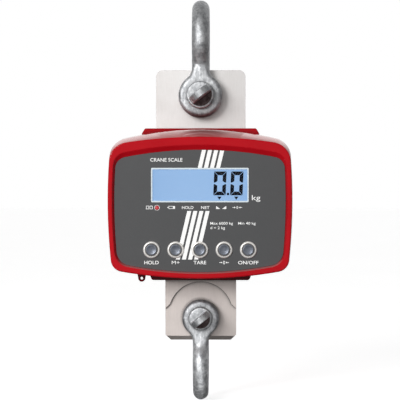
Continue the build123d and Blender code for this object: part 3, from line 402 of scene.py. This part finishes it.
def lcd_ink():
    """Dark segments of the display."""
    s = Shader("lcd_ink")
    black = s.ramp(s.noise(300), (0.3, (0.001, 0.003, 0.008)), (0.7, (0.003, 0.006, 0.014)))
    s.set(Base_Color=black, Roughness=0.6, Specular_IOR_Level=0.05)
    return s.material


def clear_window():
    """Thin clear sheet: light passes straight through, with a faint reflection."""
    s = Shader("clear_window")
    clear = s.add("ShaderNodeBsdfTransparent")
    gloss = s.add("ShaderNodeBsdfGlossy")
    gloss.inputs["Roughness"].default_value = 0.08
    mix = s.add("ShaderNodeMixShader")
    s.link(s.span(s.noise(40), 0.004, 0.009), mix.inputs["Fac"])
    s.link(clear.outputs["BSDF"], mix.inputs[1])
    s.link(gloss.outputs["BSDF"], mix.inputs[2])
    s.link(mix.outputs["Shader"], s.tree.nodes["Material Output"].inputs["Surface"])
    return s.material


def red_lens():
    """Lit red lens of the lamp."""
    s = Shader("red_lens")
    glow = s.ramp(s.noise(900), (0.3, (0.50, 0.02, 0.028)), (0.7, (0.62, 0.035, 0.045)))
    s.set(Base_Color=glow, Roughness=0.3, Emission_Color=glow, Emission_Strength=0.15,
          Coat_Weight=0.3)
    return s.material


def circuit_board():
    """Green solder mask with copper tracks showing through."""
    s = Shader("circuit_board")
    bricks = s.add("ShaderNodeTexBrick")
    s.link(s.stretch(1, 1, 1), bricks.inputs["Vector"])
    bricks.inputs["Scale"].default_value = 120
    s.feed((0.010, 0.11, 0.045), bricks.inputs["Color1"])
    s.feed((0.014, 0.15, 0.06), bricks.inputs["Color2"])
    s.feed((0.03, 0.22, 0.09), bricks.inputs["Mortar"])
    s.set(Base_Color=bricks.outputs["Color"], Roughness=0.35, Coat_Weight=0.3)
    s.relief(bricks.outputs["Fac"], 0.02)
    return s.material


# ------------------------------------------------------------------ forged pieces
SKIN_GRAIN = 6 * MM


def forge(name, material, voxel_mm, rounds, wobble_mm):
    """Forged look: the CAD shape is remeshed, its edges flow together and its skin is uneven."""
    obj = nodes[name]
    obj.data.materials.clear()
    obj.data.materials.append(material)
    remesh = obj.modifiers.new("remesh", "REMESH")
    remesh.mode = "VOXEL"
    remesh.voxel_size = voxel_mm * MM * 1.0
    remesh.use_smooth_shade = True
    flow = obj.modifiers.new("flow", "SMOOTH")
    flow.factor = 0.5
    flow.iterations = rounds
    clouds = bpy.data.textures.new(name + "_skin", "CLOUDS")
    clouds.noise_scale = SKIN_GRAIN
    clouds.noise_depth = 2
    skin = obj.modifiers.new("skin", "DISPLACE")
    skin.texture = clouds
    skin.texture_coords = "LOCAL"
    skin.strength = wobble_mm * MM
    skin.mid_level = 0.5


# ------------------------------------------------------------------ printed graphics
CAPITAL_SHARE = 0.729  # height of a capital in the built-in font of size 1
LIGHT_BOLD, BOLD, HEAVY = 0.008, 0.012, 0.014


def add_piece(name, verts, faces, material, smooth=False):
    """A new piece that rides on the scale's body."""
    mesh = bpy.data.meshes.new(name)
    mesh.from_pydata(verts, [], faces)
    mesh.materials.append(material)
    mesh.validate()
    obj = bpy.data.objects.new(name, mesh)
    bpy.context.scene.collection.objects.link(obj)
    for polygon in mesh.polygons:
        polygon.use_smooth = smooth
    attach(obj, "scale")
    return obj


class Print:
    """Flat printed shapes collected in one thin mesh that faces the front; all in metres."""

    def __init__(self, back, thickness=0.03 * MM):
        self.y = back - thickness
        self.back = back
        self.verts = []
        self.faces = []

    def shape(self, outline):
        """Filled polygon with a rim, from (x, z) corners."""
        count = len(outline)
        base = len(self.verts)
        self.verts += [(x, self.y, z) for x, z in outline]
        self.verts += [(x, self.back, z) for x, z in outline]
        self.faces.append(list(range(base, base + count)))
        self.faces.append(list(range(base + 2 * count - 1, base + count - 1, -1)))
        for i in range(count):
            j = (i + 1) % count
            self.faces.append([base + i, base + count + i, base + count + j, base + j])

    def bar(self, x0, z0, x1, z1, width):
        """Straight stroke from one point to another."""
        run = Vector((x1 - x0, z1 - z0)).normalized() * width / 2
        self.shape([(x0 - run.y, z0 + run.x), (x0 + run.y, z0 - run.x),
                    (x1 + run.y, z1 - run.x), (x1 - run.y, z1 + run.x)])

    def words(self, text, x, z, height, width=None, bold=0.0, middle=True):
        """Text of the given capital height standing on z; x is its centre, or its left end."""
        curve = bpy.data.curves.new("words", "FONT")
        curve.body = text
        curve.size = height / CAPITAL_SHARE
        curve.offset = bold * height
        curve.resolution_u = 4
        curve.extrude = (self.back - self.y) / 2
        carrier = bpy.data.objects.new("words", curve)
        bpy.context.scene.collection.objects.link(carrier)
        bpy.context.view_layer.update()
        mesh = bpy.data.meshes.new_from_object(
            carrier.evaluated_get(bpy.context.evaluated_depsgraph_get()))
        xs = [v.co.x for v in mesh.vertices]
        left = min(xs)
        natural = max(xs) - left
        factor = width / natural if width else 1.0
        start = x - natural * factor / 2 if middle else x
        base = len(self.verts)
        middle_y = (self.y + self.back) / 2
        self.verts += [(start + (v.co.x - left) * factor, middle_y - v.co.z, z + v.co.y)
                       for v in mesh.vertices]
        self.faces += [[base + i for i in polygon.vertices] for polygon in mesh.polygons]
        bpy.data.objects.remove(carrier)
        bpy.data.curves.remove(curve)
        bpy.data.meshes.remove(mesh)

    def piece(self, name, material):
        add_piece(name, self.verts, self.faces, material)


def triangle(sheet, x, z, width, height):
    """Triangle with its level side at z, its point at z + height."""
    sheet.shape([(x - width / 2, z), (x + width / 2, z), (x, z + height)])


STRIPE_WIDTH = 4.6 * MM
STRIPE_PITCH = 7.0 * MM
STRIPE_LEAN = 0.235


def stripes(sheet, foot_left, low, high_at):
    """Four slanted stripes from one level up to an edge whose height is given for each x."""
    for i in range(4):
        foot = foot_left + i * STRIPE_PITCH
        corners = []
        for x in (foot, foot + STRIPE_WIDTH):
            top = high_at(x)
            for _ in range(4):  # the slanted side meets the edge where its own height puts it
                top = high_at(x + (top - low) * STRIPE_LEAN)
            corners.append((x + (top - low) * STRIPE_LEAN, top))
        sheet.shape([(foot, low), (foot + STRIPE_WIDTH, low), corners[1], corners[0]])


CORNER_DROP = 12 * MM  # how far down its rounded corners a panel's upper edge is followed


def upper_edge(name, inset):
    """Height of a flat node's upper outline for a given x, less an inset."""
    low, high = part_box(name)
    middle = (low.z + high.z) / 2
    highest = {}
    for vertex in nodes[name].data.vertices:
        x, z = round(vertex.co.x, 6), vertex.co.z
        if z > high.z - CORNER_DROP and vertex.co.y < low.y + 0.01 * MM:
            highest[x] = max(z, highest.get(x, z))
    points = sorted(highest.items())

    def height(x):
        for (x0, z0), (x1, z1) in zip(points, points[1:]):
            if x0 <= x <= x1:
                return z0 + (z1 - z0) * (x - x0) / (x1 - x0) - inset
        return middle
    return height


def outlined(sheet, x0, z0, x1, z1, line):
    """Rectangle drawn with a line of the given width."""
    half = line / 2
    for z in (z0 + half, z1 - half):
        sheet.bar(x0, z, x1, z, line)
    for x in (x0 + half, x1 - half):
        sheet.bar(x, z0 + line, x, z1 - line, line)


def arrow(sheet, x, z, length):
    """Arrow along x with its point at x + length; a negative length points it left."""
    tip = x + length
    neck = tip - math.copysign(1.5 * MM, length)
    sheet.bar(x, z, neck, z, 0.5 * MM)
    sheet.shape([(neck, z - 1.1 * MM), (tip, z), (neck, z + 1.1 * MM)])


def zero_mark(sheet, x, z, height):
    """A nought between two arrows that point at it."""
    sheet.words("0", x, z - height / 2, height, bold=0.01)
    arrow(sheet, x - 5.6 * MM, z, 3.6 * MM)
    arrow(sheet, x + 5.6 * MM, z, -3.6 * MM)


FRAME_TOP = 19.9 * MM  # upper edge of the white frame above the window's centre
PANEL_FOOT_Z = -286.2 * MM
KEY_ROW_TOP_Z = -230.4 * MM
TITLE_Z = -173.6 * MM
UNIT_Z = -218.0 * MM
ICON_Z = -226.4 * MM
RATING_Z = (-246.0 * MM, -251.2 * MM)
RATING_HEIGHT = 3.1 * MM
LABEL_Z = -291.6 * MM
LABEL_HEIGHT = 4.1 * MM


def print_icons(sheet):
    """Row under the display: two frames, a battery, HOLD, NET, standstill and zero."""
    for left in (-61.9 * MM, -57.7 * MM):
        outlined(sheet, left, ICON_Z - 1.9 * MM, left + 3.4 * MM, ICON_Z + 1.9 * MM, 0.55 * MM)
    cell_left, cell_right, cap_right = -35.9 * MM, -30.4 * MM, -28.6 * MM
    cell_low, cell_high = ICON_Z - 1.6 * MM, ICON_Z + 1.6 * MM
    outlined(sheet, cell_left, cell_low, cell_right, cell_high, 0.5 * MM)
    full_left = cell_right - 0.2 * MM
    sheet.shape([(full_left, cell_low), (cap_right, cell_low), (cap_right, cell_high),
                 (full_left, cell_high)])
    sheet.bar(cell_left - 1.4 * MM, ICON_Z, cell_left - 0.2 * MM, ICON_Z, 1.2 * MM)
    low, high = ICON_Z - 1.7 * MM, ICON_Z + 1.7 * MM
    for text, x, width in (("HOLD", -14.0, 13.2), ("NET", 6.2, 9.6)):
        sheet.words(text, x * MM, low, 3.4 * MM, width=width * MM, bold=BOLD)
    still = 24.5 * MM
    for side in (-1, 1):
        inner, outer = still + side * 1.1 * MM, still + side * 5.8 * MM
        sheet.shape([(inner, low), (outer, low), (outer, high)][::side])
    zero_mark(sheet, 43.0 * MM, ICON_Z, 3.2 * MM)


def print_key_labels(sheet):
    """The function of each push button, under it."""
    for name, text, width, bold in (("hold", "HOLD", 16.6, HEAVY), ("memory", "M+", 9.0, 0.0),
                                    ("tare", "TARE", 14.6, HEAVY),
                                    ("power", "ON/OFF", 23.4, HEAVY)):
        sheet.words(text, centre_of("button_" + name).x, LABEL_Z, LABEL_HEIGHT,
                    width=width * MM, bold=bold)
    zero_mark(sheet, centre_of("button_zero").x, LABEL_Z + 2.0 * MM, 4.0 * MM)


def print_overlay():
    """White print on the grey foil."""
    sheet = Print(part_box("front_overlay")[0].y)
    stripes(sheet, -2.4 * MM, centre_of("display_window").z + FRAME_TOP,
            upper_edge("front_overlay", 0.2 * MM))
    stripes(sheet, -27.6 * MM, PANEL_FOOT_Z, lambda x: KEY_ROW_TOP_Z)
    sheet.words("CRANE SCALE", -38.5 * MM, TITLE_Z, 4.2 * MM, width=37.0 * MM, bold=BOLD)
    sheet.words("kg", 64.6 * MM, UNIT_Z, 6.2 * MM, width=9.7 * MM)
    for text, x, z, width in (("Max 6000 kg", 12.0, RATING_Z[0], 26.0),
                              ("Min 40 kg", 44.0, RATING_Z[0], 20.0),
                              ("d = 2 kg", 12.0, RATING_Z[1], 17.0)):
        sheet.words(text, x * MM, z, RATING_HEIGHT, width=width * MM, bold=LIGHT_BOLD,
                    middle=False)
    print_icons(sheet)
    print_key_labels(sheet)
    sheet.piece("overlay_print", white_ink())


DIGIT_FOOT_Z = -212.4 * MM
DIGIT_HEIGHT = 27.4 * MM
DIGIT_WIDTH = 14.3 * MM
DIGIT_LEFT = (15.3 * MM, 34.7 * MM)
DIGIT_LEAN = math.tan(math.radians(2.5))
STROKE = 4.4 * MM
GAP = 0.17 * MM
MARK_Z = -213.9 * MM
POINT_X, POINT_Z, POINT_RADIUS = 32.3 * MM, -210.9 * MM, 1.5 * MM


def print_nought(sheet, left):
    """The six lit segments of a seven-segment nought."""
    def slanted(outline):
        sheet.shape([(left + x + z * DIGIT_LEAN, DIGIT_FOOT_Z + z) for x, z in outline])

    for base, way in ((0, 1), (DIGIT_HEIGHT, -1)):
        inner = base + way * (STROKE - GAP * 0.6)
        slanted([(GAP * 1.6, base), (DIGIT_WIDTH - GAP * 1.6, base),
                 (DIGIT_WIDTH - STROKE - GAP, inner), (STROKE + GAP, inner)][::way])
        waist = DIGIT_HEIGHT / 2 - way * 0.8 * MM
        for edge, turn in ((0, 1), (DIGIT_WIDTH, -1)):
            inside = edge + turn * (STROKE - 0.2 * MM)
            slanted([(edge, base + way * GAP * 1.6), (edge, waist - way * 0.4 * MM),
                     (edge + turn * 1.2 * MM, waist), (inside, waist - way * 1.8 * MM),
                     (inside, base + way * (STROKE + GAP))][::-way * turn])


def print_display():
    """Seven-segment reading with its decimal point and two marks on the front of the glass."""
    sheet = Print(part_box("lcd_glass")[0].y, thickness=0.04 * MM)
    for left in DIGIT_LEFT:
        print_nought(sheet, left)
        triangle(sheet, left + 7.1 * MM, MARK_Z, 5.0 * MM, -3.7 * MM)
    around = [2 * math.pi * i / 20 for i in range(20)]
    sheet.shape([(POINT_X + POINT_RADIUS * math.cos(a), POINT_Z + POINT_RADIUS * math.sin(a))
                 for a in around])
    sheet.piece("display_reading", lcd_ink())


# ------------------------------------------------------------------ return springs
KEYS = ("hold", "memory", "tare", "zero", "power")
COIL_RADIUS = 4.6 * MM
WIRE_RADIUS = 0.4 * MM
COIL_TURNS = 5
STEPS_PER_TURN = 24
WIRE_SIDES = 8


def coil_spring(name, centre, low_y, high_y, material):
    """Round wire wound about an axis along Y, between two depths."""
    steps = COIL_TURNS * STEPS_PER_TURN
    advance = (high_y - low_y - 2 * WIRE_RADIUS) / steps
    verts, faces = [], []
    for i in range(steps + 1):
        turn = 2 * math.pi * i / STEPS_PER_TURN
        for k in range(WIRE_SIDES):
            around = 2 * math.pi * k / WIRE_SIDES
            reach = COIL_RADIUS + WIRE_RADIUS * math.cos(around)
            depth = low_y + WIRE_RADIUS + i * advance + WIRE_RADIUS * math.sin(around)
            verts.append((centre.x + reach * math.cos(turn), depth,
                          centre.z + reach * math.sin(turn)))
    for i in range(steps):
        for k in range(WIRE_SIDES):
            a, b = i * WIRE_SIDES + k, i * WIRE_SIDES + (k + 1) % WIRE_SIDES
            faces.append([a, b, b + WIRE_SIDES, a + WIRE_SIDES])
    faces.append(list(range(WIRE_SIDES))[::-1])
    faces.append(list(range(steps * WIRE_SIDES, (steps + 1) * WIRE_SIDES)))
    return add_piece(name, verts, faces, material, smooth=True)


def return_springs(material):
    """One spring behind each plunger, in place of the CAD springs, which are hidden."""
    low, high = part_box("button_springs")
    for key in KEYS:
        centre = centre_of("button_" + key)
        spring = coil_spring("spring_" + key, centre, low.y, high.y, material)
        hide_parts("button_springs")
        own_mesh(spring)


# ------------------------------------------------------------------ dressing the CAD nodes
RED = red_paint()
STEEL = ground_steel()
RUBBER = rubber()
BLACK = moulded("black_moulding", (0.010, 0.010, 0.011), (0.020, 0.020, 0.021))
WHITE = moulded("white_moulding", (0.80, 0.90, 0.96), (0.86, 0.95, 1.0), roughness=0.38)
FOIL = grey_foil()
SCREW = bright_metal("zinc_plated", (0.52, 0.53, 0.55), (0.68, 0.69, 0.70))
BRASS = bright_metal("nickel_on_brass", (0.60, 0.52, 0.38), (0.72, 0.64, 0.48))
BOARD = circuit_board()

FIRST_KEY = centre_of("button_hold")
KEY_PITCH = centre_of("button_memory").x - FIRST_KEY.x
BEZEL = turned_metal("turned_bezel", (0.93, 0.90, 0.86), (0.99, 0.97, 0.94), FIRST_KEY, KEY_PITCH,
                     roughness=0.36, mark_mm=0.8, metallic=0.35)
DISH = turned_metal("turned_dish", (0.135, 0.15, 0.185), (0.20, 0.215, 0.25), FIRST_KEY,
                    KEY_PITCH, roughness=0.32, mark_mm=0.5, metallic=0.6)
LAMP_RING = turned_metal("turned_lamp_ring", (0.60, 0.60, 0.60), (0.76, 0.76, 0.76),
                         centre_of("status_lamp"), None, roughness=0.2, mark_mm=0.4,
                         metallic=1.0)
PLATE_METAL = bright_metal("satin_foil", (0.55, 0.56, 0.57), (0.68, 0.69, 0.70), 0.42)

PLAN = {
    RED: ["front_housing", "rear_housing", "battery_cover"],
    STEEL: ["load_cell"],
    FOIL: ["front_overlay"],
    WHITE: ["display_frame"],
    clear_window(): ["display_window"],
    lcd_glass(): ["lcd_glass"],
    moulded("diffuser", (0.70, 0.78, 0.90), (0.80, 0.86, 0.95), 0.5): ["lcd_backlight"],
    BEZEL: ["button_bezels"],
    DISH: ["button_" + key for key in KEYS],
    LAMP_RING: ["lamp_ring"],
    red_lens(): ["status_lamp"],
    PLATE_METAL: ["rating_plate", "mounting_plate", "gauge_pocket_covers"],
    RUBBER: ["battery_gasket", "button_seals", "housing_gasket", "upper_cell_seal",
             "lower_cell_seal", "socket_cover", "socket_strap"],
    moulded("guide_ring", (0.15, 0.14, 0.135), (0.21, 0.20, 0.19), 0.4): ["button_rings"],
    BLACK: ["battery_tray", "button_switches", "charging_socket"],
    SCREW: ["housing_screws", "battery_cover_screws", "button_board_screws", "button_nuts",
            "display_board_screws", "main_board_screws", "plate_screws_cell",
            "plate_screws_housing", "socket_strap_screw", "button_springs"],
    BRASS: ["battery_contacts", "charging_socket_nut"],
    BOARD: ["button_board", "display_board", "main_board"],
    moulded("chip_black", (0.012, 0.012, 0.014), (0.03, 0.03, 0.032), 0.4):
        ["main_board_parts"],
    moulded("cell_sleeve", (0.03, 0.16, 0.10), (0.05, 0.22, 0.14), 0.35): ["battery_cells"],
    moulded("red_wire", (0.42, 0.01, 0.01), (0.55, 0.02, 0.02), 0.45): ["battery_leads"],
    moulded("black_wire", (0.012, 0.012, 0.012), (0.025, 0.025, 0.025), 0.45):
        ["charging_leads"],
    moulded("grey_cable", (0.13, 0.13, 0.135), (0.18, 0.18, 0.185), 0.5): ["cell_cable"],
    moulded("flat_cable", (0.40, 0.40, 0.41), (0.52, 0.52, 0.53), 0.45):
        ["button_ribbon", "display_ribbon"],
    moulded("gauge_foil", (0.50, 0.30, 0.10), (0.62, 0.40, 0.16), 0.4): ["strain_gauges"],
}
for material, names in PLAN.items():
    for name in names:
        slots = nodes[name].data.materials
        slots.clear()
        slots.append(material)

LOWER_EYE_RADIUS = 21.4 * MM
UPPER_ZINC = galvanised("galvanised", 1.0, shaded_foot, foot_z=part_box("upper_shackle_bow")[0].z)
# the lower shackle's bow and pin get painted lighter copies of the zinc, standing in for brighter
# light on them
LOWER_ZINC = galvanised("galvanised_painted_lighter", 1.25, shaded_eye_rim, centre=centre_of("lower_shackle_pin"),
                        radius=LOWER_EYE_RADIUS)
UPPER_PIN_ZINC = galvanised("upper_pin_zinc", 1.0, tab_shadow, pin="upper_shackle_pin",
                            tab_half=4.0 * MM)
LOWER_PIN_ZINC = galvanised("lower_pin_zinc", 1.15, tab_shadow, pin="lower_shackle_pin",
                            tab_half=3.5 * MM)
forge("upper_shackle_bow", UPPER_ZINC, voxel_mm=0.9, rounds=22, wobble_mm=0.45)
forge("lower_shackle_bow", LOWER_ZINC, voxel_mm=0.8, rounds=22, wobble_mm=0.40)
forge("upper_shackle_pin", UPPER_PIN_ZINC, voxel_mm=0.5, rounds=3, wobble_mm=0.15)
forge("lower_shackle_pin", LOWER_PIN_ZINC, voxel_mm=0.45, rounds=3, wobble_mm=0.15)

print_overlay()
print_display()
return_springs(SCREW)


# ------------------------------------------------------------------ floor, light and camera
def softbox(name, place, aim, width, height, power, receivers=()):
    """Soft rectangular lamp, out of the camera's sight; with receivers, it lights only those."""
    light = bpy.data.lights.new(name, "AREA")
    light.shape = "RECTANGLE"
    light.size = width
    light.size_y = height
    light.energy = power
    obj = bpy.data.objects.new(name, light)
    obj.location = place
    obj.rotation_euler = (Vector(aim) - Vector(place)).to_track_quat("-Z", "Y").to_euler()
    obj.visible_camera = False
    bpy.context.scene.collection.objects.link(obj)
    if receivers:
        obj.light_linking.receiver_collection = bpy.data.collections.new(name + "_receivers")
        for receiver in receivers:
            obj.light_linking.receiver_collection.objects.link(nodes[receiver])


def pale_floor():
    """Floor just below the object; it is seen, but neither lights nor shades the object."""
    mesh = bpy.data.meshes.new("floor")
    reach = 40.0
    level = cad_low.z - 0.5 * MM
    mesh.from_pydata([(-reach, -reach, level), (reach, -reach, level), (reach, reach, level),
                      (-reach, reach, level)], [], [(0, 1, 2, 3)])
    floor = bpy.data.objects.new("floor", mesh)
    bpy.context.scene.collection.objects.link(floor)
    s = Shader("floor")
    pale = s.ramp(s.noise(3), (0.3, (0.86, 0.86, 0.86)), (0.7, (0.88, 0.88, 0.88)))
    s.set(Base_Color=pale, Roughness=0.9, Emission_Color=pale, Emission_Strength=0.75)
    mesh.materials.append(s.material)
    floor.visible_diffuse = False
    floor.visible_glossy = False
    floor.visible_shadow = False


def studio_world():
    """White for the camera; for the object, bright overhead and in front and dark below."""
    world = bpy.data.worlds.new("studio")
    world.use_nodes = True
    bpy.context.scene.world = world
    w = Nodes(world.node_tree)
    x, y, z = w.axes(w.add("ShaderNodeTexCoord").outputs["Generated"])

    def sky(axis, *stops):
        """Brightness along one axis of the direction, from -1 to 1."""
        return w.ramp(w.span(axis, 0.0, 1.0, -1.0, 1.0),
                      *(((place + 1) / 2, (value,) * 3) for place, value in stops))

    front = sky(z, (-1.0, 0.06), (-0.60, 0.14), (-0.30, 0.32), (-0.12, 0.88), (0.30, 1.0),
                (0.62, 0.30), (1.0, 0.14))
    front_sides = sky(x, (-1.0, 0.25), (-0.75, 0.45), (-0.40, 1.0), (0.08, 0.98), (0.50, 0.40),
                      (1.0, 0.20))
    rear = sky(z, (-1.0, 0.04), (-0.25, 0.12), (-0.05, 1.0), (0.62, 1.0), (0.80, 0.40),
               (1.0, 0.14))
    rear_sides = sky(x, (-1.0, 0.30), (-0.60, 0.60), (-0.30, 1.0), (0.30, 1.0), (0.60, 0.60),
                     (1.0, 0.30))
    around = w.mix(w.span(y, 0.0, 1.0, 0.0, 0.45), w.mix(1.0, front, front_sides, "MULTIPLY"),
                   w.mix(1.0, rear, rear_sides, "MULTIPLY"))
    seen = w.add("ShaderNodeLightPath").outputs["Is Camera Ray"]
    background = world.node_tree.nodes["Background"]
    w.link(w.mix(seen, around, (1.0, 1.0, 1.0)), background.inputs["Color"])
    background.inputs["Strength"].default_value = 1.0


CAMERA_PLACE = (33 * MM, -1800 * MM, -217.8 * MM)
CAMERA_YAW = math.atan(34.2 / 1800)
CAMERA_LENS_MM = 135.45
SENSOR_MM = 36.0


def front_camera():
    """Long lens in front, level, at the height of the object's middle."""
    view = bpy.data.cameras.new("view")
    view.sensor_width = SENSOR_MM
    view.lens = CAMERA_LENS_MM
    camera = bpy.data.objects.new("view", view)
    camera.location = CAMERA_PLACE
    camera.rotation_euler = (math.radians(90), 0, CAMERA_YAW)
    bpy.context.scene.collection.objects.link(camera)
    bpy.context.scene.camera = camera
    bpy.context.scene.view_settings.view_transform = "Standard"


pale_floor()
studio_world()
softbox("key", place=(-1.0, -1.9, 0.42), aim=(0, -0.05, -0.25), width=0.9, height=0.8, power=29)
softbox("floor_bounce", place=(0, -0.5, -0.95), aim=(0, 0, -0.43), width=0.8, height=0.8,
        power=2.2, receivers=["lower_shackle_bow"])
front_camera()
